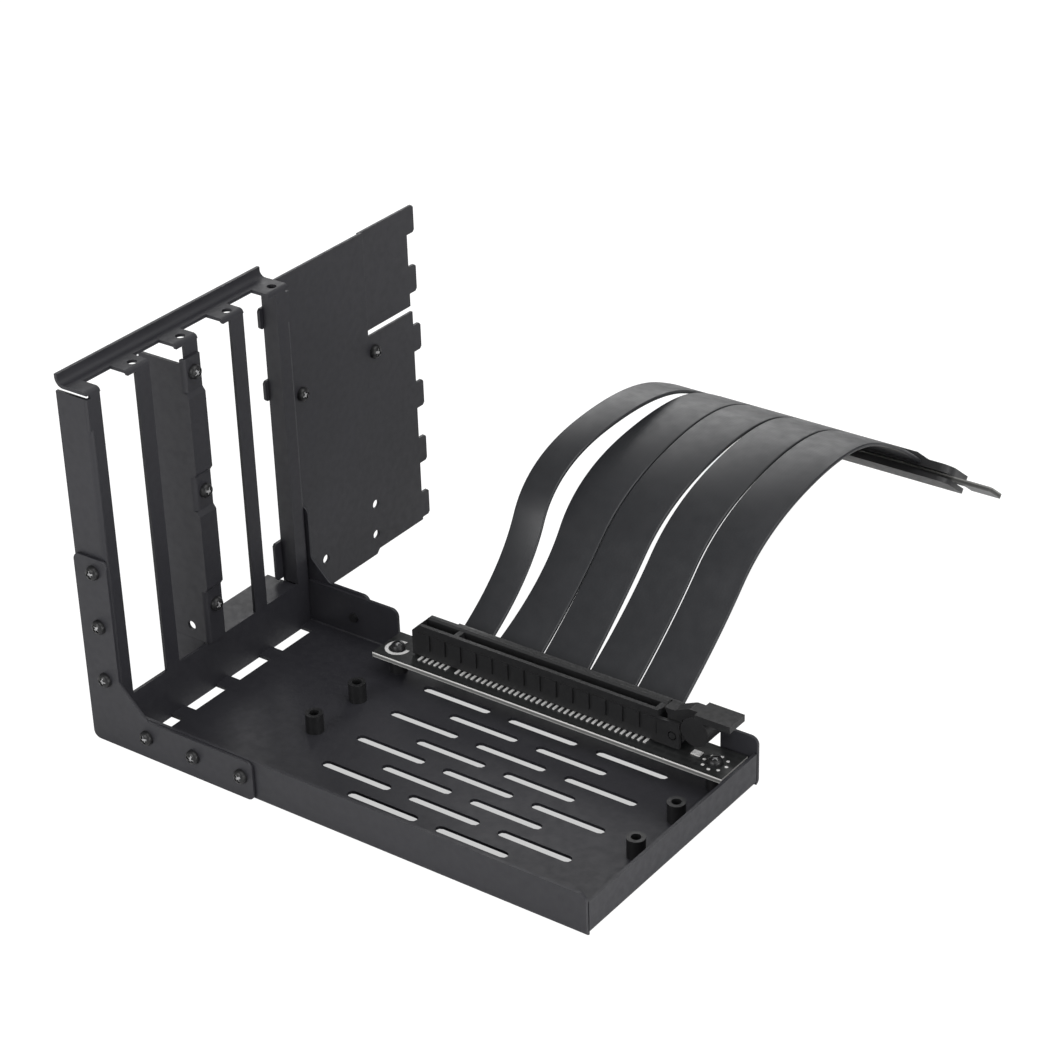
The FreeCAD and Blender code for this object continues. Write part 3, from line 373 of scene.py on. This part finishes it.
# %% [markdown]
# The slot and its latch are moulded from glass-filled plastic, which comes out of the mould
# black and rather matt, with a fine tooth.

# %% Moulded plastic of the slot
moulded, tree, shader, place = uneven_finish(
    "moulded_slot_plastic", colour=(160, (0.008, 0.008, 0.0085), (0.013, 0.013, 0.014)),
    gloss=(700, 0.46, 0.6),
)
relief(tree, shader, grain(tree, place, 3200, 2), 0.012, 0.35)
paint(moulded, "slot_housing", "slot_latch")

# %% [markdown]
# The plug's covers and the clamp are a smoother plastic with a soft sheen.

# %% Smooth plastic of the plug and the clamp
smooth, tree, shader, place = uneven_finish(
    "smooth_plug_plastic", colour=(120, (0.013, 0.013, 0.014), (0.02, 0.02, 0.021)),
    gloss=(500, 0.36, 0.48),
)
relief(tree, shader, grain(tree, place, 2200, 2), 0.01, 0.25)
paint(smooth, "plug_cover_upper", "plug_cover_lower", "ribbon_clamp")

# %% [markdown]
# The contacts and their solder feet are tinned. Tin is dull and pale, so it is only partly
# metallic here: a full metal would mirror the dark slot around it and turn black.

# %% Tinned contacts
tin, tree, shader, place = uneven_finish(
    "tinned_contact", colour=(900, (0.72, 0.72, 0.71), (0.92, 0.91, 0.9)),
    gloss=(2500, 0.22, 0.42),
)
relief(tree, shader, grain(tree, place, 4000, 2), 0.01, 0.3)
shader.inputs["Metallic"].default_value = 0.3
paint(tin, "slot_contacts_front", "slot_contacts_rear")

# %% [markdown]
# The circuit boards are black on their two faces and pale on their cut edges, where the glass
# cloth shows. One material does both: it asks how far the surface turns away from the board's
# own face, with a dot product of the normal, and mixes the two colours there. The edge is a
# stack of layers: a second dot product, of the place, tells how high in the stack a point lies,
# and the core comes out darker than the two skins. Fine lines on the faces stand for the copper
# that shows through the black lacquer.

# %% Lacquer and layers of a board
CORE_FROM, CORE_TO, UPPER_SKIN = 0.28, 0.62, 0.78
CORE_SHARE = 0.35


def reach(tree, vector, direction):
    """How far a vector reaches along a direction, which is their dot product."""
    product = tree.nodes.new("ShaderNodeVectorMath")
    product.operation = "DOT_PRODUCT"
    product.inputs[1].default_value = direction
    tree.links.new(vector, product.inputs[0])
    return product.outputs["Value"]


def lacquered_tracks(tree, place):
    """Black lacquer with the copper under it as the joints of a brick pattern."""
    tracks = tree.nodes.new("ShaderNodeTexBrick")
    tracks.inputs["Scale"].default_value = 110
    tracks.inputs["Mortar Size"].default_value = 0.05
    tracks.inputs["Color1"].default_value = (0.012, 0.013, 0.013, 1)
    tracks.inputs["Color2"].default_value = (0.016, 0.017, 0.017, 1)
    tracks.inputs["Mortar"].default_value = (0.02, 0.021, 0.021, 1)
    tree.links.new(place, tracks.inputs["Vector"])
    return tracks.outputs["Color"]


def cut_layers(tree, in_stack, dim, bright):
    """The cut edge from its lower skin at 0, through the dark core, to its upper skin."""
    layers = tree.nodes.new("ShaderNodeValToRGB")
    layers.color_ramp.elements[0].color = (*dim, 1)
    layers.color_ramp.elements[1].color = (*bright, 1)
    layers.color_ramp.elements[1].position = UPPER_SKIN
    for position in (CORE_FROM, CORE_TO):
        core = layers.color_ramp.elements.new(position)
        core.color = (*(CORE_SHARE * value for value in dim), 1)
    tree.links.new(in_stack, layers.inputs["Fac"])
    return layers.outputs["Color"]


# %% Circuit boards
BOARD_BOTTOM, BOARD_TOP = 7.2, 8.8
PLUG_TILT = math.radians(38)
CARD_DROP = 2.1
CARD_HALF = 0.8


def board_finish(name, facing, bottom_mm, top_mm, dim, bright):
    """Black lacquer on the faces that look along a direction, pale layers on the edges."""
    finish, tree, shader, place = new_finish(name)
    normal = tree.nodes.new("ShaderNodeNewGeometry").outputs["Normal"]
    flat = tree.nodes.new("ShaderNodeMath")
    flat.operation = "ABSOLUTE"
    tree.links.new(reach(tree, normal, facing), flat.inputs[0])
    on_face = spread(tree, flat.outputs["Value"], 0.0, 1.0, 0.6, 0.8)
    in_stack = spread(tree, reach(tree, place, facing), 0.0, 1.0, bottom_mm * MM, top_mm * MM)
    mix = tree.nodes.new("ShaderNodeMix")
    mix.data_type = "RGBA"
    tree.links.new(on_face, mix.inputs["Factor"])
    tree.links.new(cut_layers(tree, in_stack, dim, bright), mix.inputs["A"])
    tree.links.new(lacquered_tracks(tree, place), mix.inputs["B"])
    tree.links.new(mix.outputs["Result"], shader.inputs["Base Color"])
    tree.links.new(spread(tree, on_face, 0.7, 0.34, 0, 1), shader.inputs["Roughness"])
    relief(tree, shader, grain(tree, place, 1500, 2), 0.01, 0.25)
    return finish


riser_lacquer = board_finish(
    "riser_board_lacquer", (0, 0, 1), BOARD_BOTTOM, BOARD_TOP,
    dim=(0.42, 0.42, 0.41), bright=(0.86, 0.85, 0.83),
)
paint(riser_lacquer, "riser_board")
plug_face = Vector((0, math.sin(PLUG_TILT), math.cos(PLUG_TILT)))
card_middle = at(0, *PLUG_END).dot(plug_face) / MM - CARD_DROP
plug_lacquer = board_finish(
    "plug_board_lacquer", plug_face, card_middle - CARD_HALF, card_middle + CARD_HALF,
    dim=(0.12, 0.12, 0.115), bright=(0.2, 0.2, 0.19),
)
paint(plug_lacquer, "plug_board")

# %% [markdown]
# The cable's jacket is a smooth satin skin over rows of fine wires, which print through as
# faint ribs along each band. The ribs depend on X alone, so a wave along X gives them, and a
# slow noise keeps the sheen from looking like a ruler's edge.

# %% Ribbon jacket
jacket, tree, shader, place = uneven_finish(
    "satin_ribbon_jacket", colour=(70, (0.0145, 0.0152, 0.0172), (0.0215, 0.0222, 0.0252)),
    gloss=(260, 0.36, 0.46), detail=4,
)
wires = tree.nodes.new("ShaderNodeTexWave")
wires.bands_direction = "X"
wires.inputs["Scale"].default_value = 330
wires.inputs["Distortion"].default_value = 0.4
tree.links.new(place, wires.inputs["Vector"])
relief(tree, shader, wires.outputs["Fac"], 0.02, 0.25)
for piece in ribbon_pieces:
    piece.data.materials.append(jacket)
print(jacket.name, "on", len(ribbon_pieces), "bands")

# %% [markdown]
# The CAD screws are plain round heads. A real pan head has a low dome with a rounded rim and
# a cross cut into it. The dome is a profile turned about its axis with spin. Planes cut the
# outline of the cross into the dome, the faces inside it are extruded down, and the old ones
# above them, which the extrusion leaves in place, are deleted. The count of open edges, which
# should be 0, shows that the head is closed again.

# %% One pan head with its cross
HEAD_PROFILE = [(0, 1.9), (1.1, 1.82), (1.8, 1.5), (2.14, 1.05), (2.28, 0.5), (2.3, 0.0)]
SHANK_RADIUS = 1.45
CROSS_HALF, CROSS_ARM, CROSS_DEPTH = 0.42 * MM, 1.35 * MM, 0.45 * MM
CROSS_ABOVE = 1.2 * MM
CROSS_TAPER = 0.9
# The material slot that paints the highlight inside the crosses.
HIGHLIGHT_SLOT = 1


def sink_cross(bm):
    """Cut a cross into the dome and sink it; its faces take the second material, a painted
    highlight.
    """
    for offset in (-CROSS_ARM, -CROSS_HALF, CROSS_HALF, CROSS_ARM):
        for direction in ((1, 0, 0), (0, 1, 0)):
            whole = list(bm.verts) + list(bm.edges) + list(bm.faces)
            spot = Vector(direction) * offset
            bmesh.ops.bisect_plane(bm, geom=whole, dist=1e-7, plane_co=spot, plane_no=direction)
    cross = []
    for face in bm.faces:
        middle = face.calc_center_median()
        narrow, wide = sorted((abs(middle.x), abs(middle.y)))
        if middle.z > CROSS_ABOVE and narrow < CROSS_HALF and wide < CROSS_ARM:
            cross.append(face)
    sunk = bmesh.ops.extrude_face_region(bm, geom=cross)["geom"]
    bmesh.ops.delete(bm, geom=cross, context="FACES")
    deep = only(bmesh.types.BMVert, sunk)
    bmesh.ops.translate(bm, vec=(0, 0, -CROSS_DEPTH), verts=deep)
    bmesh.ops.scale(bm, vec=(CROSS_TAPER, CROSS_TAPER, 1), verts=deep)
    for face in only(bmesh.types.BMFace, sunk):
        face.material_index = HIGHLIGHT_SLOT


def pan_head(shank_mm):
    """A bmesh of one screw that stands on Z = 0 with its axis along Z."""
    bm = bmesh.new()
    profile = HEAD_PROFILE + [(SHANK_RADIUS, 0.0), (SHANK_RADIUS, -shank_mm), (0, -shank_mm)]
    points = [bm.verts.new((x * MM, 0, z * MM)) for x, z in profile]
    edges = [bm.edges.new(pair) for pair in zip(points, points[1:])]
    bmesh.ops.spin(
        bm, geom=points + edges, cent=(0, 0, 0), axis=(0, 0, 1), dvec=(0, 0, 0),
        angle=math.tau, steps=36, use_merge=True, use_duplicate=False,
    )
    bmesh.ops.remove_doubles(bm, verts=bm.verts, dist=0.01 * MM)
    sink_cross(bm)
    return bm


trial = pan_head(3.0)
open_edges = [edge for edge in trial.edges if not edge.is_manifold]
print("one screw:", len(trial.faces), "faces,", len(open_edges), "open edges")
trial.free()

# %% [markdown]
# The screw is copied to every seat that the CAD nodes mark, and all the screws of a node become
# one piece. No two crosses stop at the same angle when they are driven home, so each is turned
# on from the one before.

# %% Copy screws to their seats
FIRST_TURN, NEXT_TURN = 17, 53


def seat_screws(node, axis, spots, shank_mm):
    """All the screws of one CAD node as one piece; axis is where the heads look."""
    whole = bmesh.new()
    look = Vector((0, 0, 1)).rotation_difference(Vector(axis)).to_matrix().to_4x4()
    for number, spot in enumerate(spots):
        one = pan_head(shank_mm)
        driven = Matrix.Rotation(math.radians(FIRST_TURN + NEXT_TURN * number), 4, "Z")
        seated = Matrix.Translation(at(*spot)) @ look @ driven
        bmesh.ops.transform(one, matrix=seated, verts=one.verts)
        mesh = bpy.data.meshes.new("one_screw")
        one.to_mesh(mesh)
        one.free()
        whole.from_mesh(mesh)
        bpy.data.meshes.remove(mesh)
    piece = finish_piece(node + "_heads", whole)
    piece.data.materials.append(oxide)
    # The second material paints the highlight inside the crosses.
    piece.data.materials.append(steel)
    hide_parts(node)
    return piece


# %% Seat the screws
GUSSET_STEP, DIVIDER_STEP = 18.1, 38.8
RISER_ROW = 77.54
along_tray = [(10.0 + GUSSET_STEP * i, -1.0, 7.6) for i in range(3)]
up_frame = [(-4.5, -1.0, 22.6 + GUSSET_STEP * i) for i in range(3)]
rear_seats = [(18.0, 88.0, 7.6), (-2.6, 88.0, 20.2), (-2.6, 88.0, 34.0)]
divider_seats = [(1.0, 42.28, 28.9 + DIVIDER_STEP * i) for i in range(3)]
plate_seats = [(-5.8, 96.0, 74.96), (-5.8, 132.0, 74.96)]
riser_seats = [(42.0, RISER_ROW, BOARD_TOP), (156.5, RISER_ROW, BOARD_TOP)]
for node, axis, spots, shank in (
    ("front_gusset_screws", (0, -1, 0), along_tray + up_frame, 3.0),
    ("rear_gusset_screws", (0, 1, 0), rear_seats, 3.0),
    ("divider_screws", (1, 0, 0), divider_seats, 3.0),
    ("plate_screws", (1, 0, 0), plate_seats, 2.0),
    ("riser_screws", (0, 0, 1), riser_seats, 1.5),
):
    piece = seat_screws(node, axis, spots, shank)
    low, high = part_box(node)
    print(piece.name, "CAD box (mm)", [round(v / MM, 1) for v in (*low, *high)])

# %% [markdown]
# The leaf of the divider goes on downwards behind the sill. The CAD leaf stops above it, so a
# short foot of the same sheet, a cube stretched to its size and rounded like the plates,
# carries it on.

# %% Foot of the divider's leaf
FOOT_MIDDLE = (-8.95, 38.62, 11.3)
FOOT_SIZE = (15.1, 1.0, 11.0)


def add_bar(bm, place, size_mm):
    """A cube stretched to a size and put in its place by a matrix."""
    stretch = Matrix.Diagonal((*(side * MM for side in size_mm), 1))
    bmesh.ops.create_cube(bm, size=1, matrix=place @ stretch)


foot_bm = bmesh.new()
add_bar(foot_bm, Matrix.Translation(at(*FOOT_MIDDLE)), FOOT_SIZE)
bmesh.ops.bevel(
    foot_bm, geom=list(foot_bm.edges), offset=EDGE_ROUND * MM, offset_type="OFFSET",
    affect="EDGES", segments=2, profile=0.5, material=-1,
)
leaf_foot = finish_piece("divider_leaf_foot", foot_bm)
leaf_foot.data.materials.append(coat)
print("foot of the leaf:", len(leaf_foot.data.polygons), "faces")

# %% [markdown]
# Around each of the board's screws the lacquer is left off, so that bare tinned copper shows.
# The left one is a ring, open on one side; round the right one the tin shows as a circle of
# small dots, with a solder tab beside it. They are a hair thick, so a ring is a circle whose
# rim is extruded outwards and then up, and a dot is a low cone.

# %% Tinned ring
TIN_THICK = 0.06
RING_INNER, RING_OUTER = 2.95, 4.1
OPEN_SIDE = Vector((0.7, 0.7, 0))
OPEN_FROM = 0.75


def tinned_ring(spot):
    """A bmesh of a thin flat ring that lies on the board, open on its far right."""
    bm = bmesh.new()
    bmesh.ops.create_circle(bm, cap_ends=False, segments=48, radius=RING_INNER * MM)
    rim = []
    for edge in bm.edges:
        outwards = (edge.verts[0].co + edge.verts[1].co).normalized()
        if outwards.dot(OPEN_SIDE) < OPEN_FROM:
            rim.append(edge)
    grown = bmesh.ops.extrude_edge_only(bm, edges=rim)["geom"]
    widen = RING_OUTER / RING_INNER
    bmesh.ops.scale(bm, vec=(widen, widen, 1), verts=only(bmesh.types.BMVert, grown))
    faces = only(bmesh.types.BMFace, grown)
    thick = bmesh.ops.extrude_face_region(bm, geom=faces)["geom"]
    top = only(bmesh.types.BMVert, thick)
    bmesh.ops.translate(bm, vec=(0, 0, TIN_THICK * MM), verts=top)
    bmesh.ops.translate(bm, vec=at(*spot), verts=bm.verts)
    return bm


# %% Tin on the board
DOTS, DOT_CIRCLE, DOT_FOOT, DOT_TOP = 8, 3.7, 0.55, 0.45
TAB_MIDDLE = (149.6, 78.7, 9.0)
TAB_SIZE = (3.0, 2.2, 0.4)
ring_seat, dots_seat = riser_seats
pads = tinned_ring(ring_seat)
for step in range(DOTS):
    around = math.tau * step / DOTS
    aside = Vector((math.cos(around), math.sin(around), 0)) * DOT_CIRCLE
    dot = Vector(dots_seat) + aside + Vector((0, 0, TIN_THICK / 2))
    bmesh.ops.create_cone(
        pads, cap_ends=True, segments=12, radius1=DOT_FOOT * MM, radius2=DOT_TOP * MM,
        depth=TIN_THICK * MM, matrix=Matrix.Translation(at(*dot)),
    )
add_bar(pads, Matrix.Translation(at(*TAB_MIDDLE)), TAB_SIZE)
board_pads = finish_piece("board_tin_pads", pads)
board_pads.data.materials.append(tin)
print("tin pads:", len(board_pads.data.polygons), "faces")

# %% [markdown]
# The plug's card edge carries gold contact fingers on both faces, one every millimetre, with
# none at the key notch. Each is a thin bar made from a cube, laid on the card and tilted with
# the plug.

# %% Gold finish
gold, tree, shader, place = uneven_finish(
    "gold_finger", colour=(600, (0.72, 0.5, 0.2), (0.84, 0.62, 0.28)), gloss=(1800, 0.2, 0.34),
)
relief(tree, shader, grain(tree, place, 3000, 2), 0.005, 0.2)
shader.inputs["Metallic"].default_value = 1.0
print("finishes:", [finish.name for finish in bpy.data.materials if finish.users])

# %% Gold fingers of the plug
CARD_LEFT = 55.0
FINGERS, FIRST_FINGER = 82, 1.25
KEY_FROM, KEY_TO = 12.0, 14.8
FINGER_SIZE = (0.7, 7.0, 0.06)
FINGER_OUT, FINGER_RISE = 20.4, 0.82
card_seat = at(0, *PLUG_END) - plug_face * CARD_DROP * MM
tilted = Matrix.Translation(card_seat) @ Matrix.Rotation(-PLUG_TILT, 4, "X")
fingers = bmesh.new()
for number in range(FINGERS):
    from_left = FIRST_FINGER + number
    if KEY_FROM < from_left < KEY_TO:
        continue
    for side in (-1, 1):
        spot = Vector((CARD_LEFT + from_left, FINGER_OUT, side * FINGER_RISE)) * MM
        add_bar(fingers, tilted @ Matrix.Translation(spot), FINGER_SIZE)
plug_fingers = finish_piece("plug_gold_fingers", fingers)
plug_fingers.data.materials.append(gold)
print("gold fingers:", len(plug_fingers.data.polygons) // 6)

# %% [markdown]
# A product picture stands on white. The floor and the world have to be white to the camera
# without throwing more light on the object. The Light Path node tells the camera's own rays
# from all others, so one helper gives a value that differs between them. Two more make a flat
# card for the stage and start its material.

# %% Helpers for the stage


def by_ray(tree, to_others, to_camera):
    """A value with one level for the camera's own rays and another for the rest."""
    ray = tree.nodes.new("ShaderNodeLightPath")
    return spread(tree, ray.outputs["Is Camera Ray"], to_others, to_camera, 0, 1)


def stage_card(name, wide, deep, place):
    """A flat card in metres."""
    bm = bmesh.new()
    bmesh.ops.create_grid(bm, x_segments=1, y_segments=1, size=0.5)
    bmesh.ops.scale(bm, vec=(wide, deep, 1), verts=bm.verts)
    mesh = bpy.data.meshes.new(name)
    bm.to_mesh(mesh)
    bm.free()
    card = bpy.data.objects.new(name, mesh)
    card.location = place
    bpy.context.scene.collection.objects.link(card)
    return card


def stage_finish(card, name):
    """An empty node tree for a card's material, and the socket that its shader goes to."""
    finish = bpy.data.materials.new(name)
    finish.use_nodes = True
    card.data.materials.append(finish)
    tree = finish.node_tree
    tree.nodes.clear()
    return tree, tree.nodes.new("ShaderNodeOutputMaterial").inputs["Surface"]


# %% [markdown]
# The floor is a pale diffuse plane that throws light back up at the object. For the camera
# alone most of it glows white, so that hardly any shadow shows.

# %% Floor
FLOOR_SIDE, FLOOR_LEVEL = 8, -0.0002
FLOOR_GREY = 0.85
GLOW_STRENGTH, GLOW_SHARE = 1.22, 0.8
floor = stage_card("floor", FLOOR_SIDE, FLOOR_SIDE, (0, 0, FLOOR_LEVEL))
tree, surface = stage_finish(floor, "white_floor")
matt = tree.nodes.new("ShaderNodeBsdfDiffuse")
matt.inputs["Color"].default_value = (FLOOR_GREY, FLOOR_GREY, FLOOR_GREY, 1)
glow = tree.nodes.new("ShaderNodeEmission")
glow.inputs["Strength"].default_value = GLOW_STRENGTH
blend = tree.nodes.new("ShaderNodeMixShader")
tree.links.new(by_ray(tree, 0.0, GLOW_SHARE), blend.inputs["Fac"])
tree.links.new(matt.outputs["BSDF"], blend.inputs[1])
tree.links.new(glow.outputs["Emission"], blend.inputs[2])
tree.links.new(blend.outputs["Shader"], surface)
print("floor", FLOOR_SIDE, "m wide, at", FLOOR_LEVEL / MM, "mm")

# %% [markdown]
# The floor under the tray lies in its shade, so what shows through the vents is a light grey.
# A plain card on the floor, seen by the camera alone, gives that grey.

# %% Shade under the tray
SHADE_WIDE, SHADE_DEEP = 0.13, 0.08
SHADE_PLACE = (0.012, 0, -0.0001)
SHADE_LEVEL = 0.58
shade = stage_card("tray_shade", SHADE_WIDE, SHADE_DEEP, SHADE_PLACE)
tree, surface = stage_finish(shade, "shaded_floor")
glow = tree.nodes.new("ShaderNodeEmission")
tree.links.new(by_ray(tree, 0.0, SHADE_LEVEL), glow.inputs["Strength"])
tree.links.new(glow.outputs["Emission"], surface)
print("shade", SHADE_WIDE / MM, "by", SHADE_DEEP / MM, "mm")

# %% [markdown]
# The world is white to the camera and a quiet grey as a light, which keeps the black sheets
# black and the inside of the tray darker than its rim.

# %% World
WORLD_LIGHT = 0.27
bpy.context.scene.view_settings.view_transform = "Standard"
world = bpy.data.worlds.new("studio")
bpy.context.scene.world = world
world.use_nodes = True
tree = world.node_tree
sky = tree.nodes["Background"]
sky.inputs["Color"].default_value = (1, 1, 1, 1)
tree.links.new(by_ray(tree, WORLD_LIGHT, 1.0), sky.inputs["Strength"])
print("world light", WORLD_LIGHT)

# %% [markdown]
# The lamps are those of a small studio: a large soft box above, one in front, a small low one
# beside the right end of the tray, and one far behind on the left, whose reflection runs along
# the crest of the cable.

# %% Lamps
OBJECT_MIDDLE = (0, 0.05, 0.05)


def soft_box(name, place, aim, side, watts):
    """A square area lamp that looks at a point."""
    lamp = bpy.data.lights.new(name, "AREA")
    lamp.size = side
    lamp.energy = watts
    holder = bpy.data.objects.new(name, lamp)
    holder.location = place
    holder.rotation_euler = (Vector(aim) - Vector(place)).to_track_quat("-Z", "Y").to_euler()
    bpy.context.scene.collection.objects.link(holder)


soft_box("top_box", (0.5, 0.1, 1.3), OBJECT_MIDDLE, 1.2, 11)
soft_box("front_box", (-0.3, -1.3, 0.6), OBJECT_MIDDLE, 0.8, 11)
soft_box("right_box", (0.52, -0.12, 0.09), (0.08, -0.03, 0.005), 0.3, 1.6)
soft_box("back_box", (-0.9, 1.4, 0.72), (0.03, 0.12, 0.05), 1.0, 7)
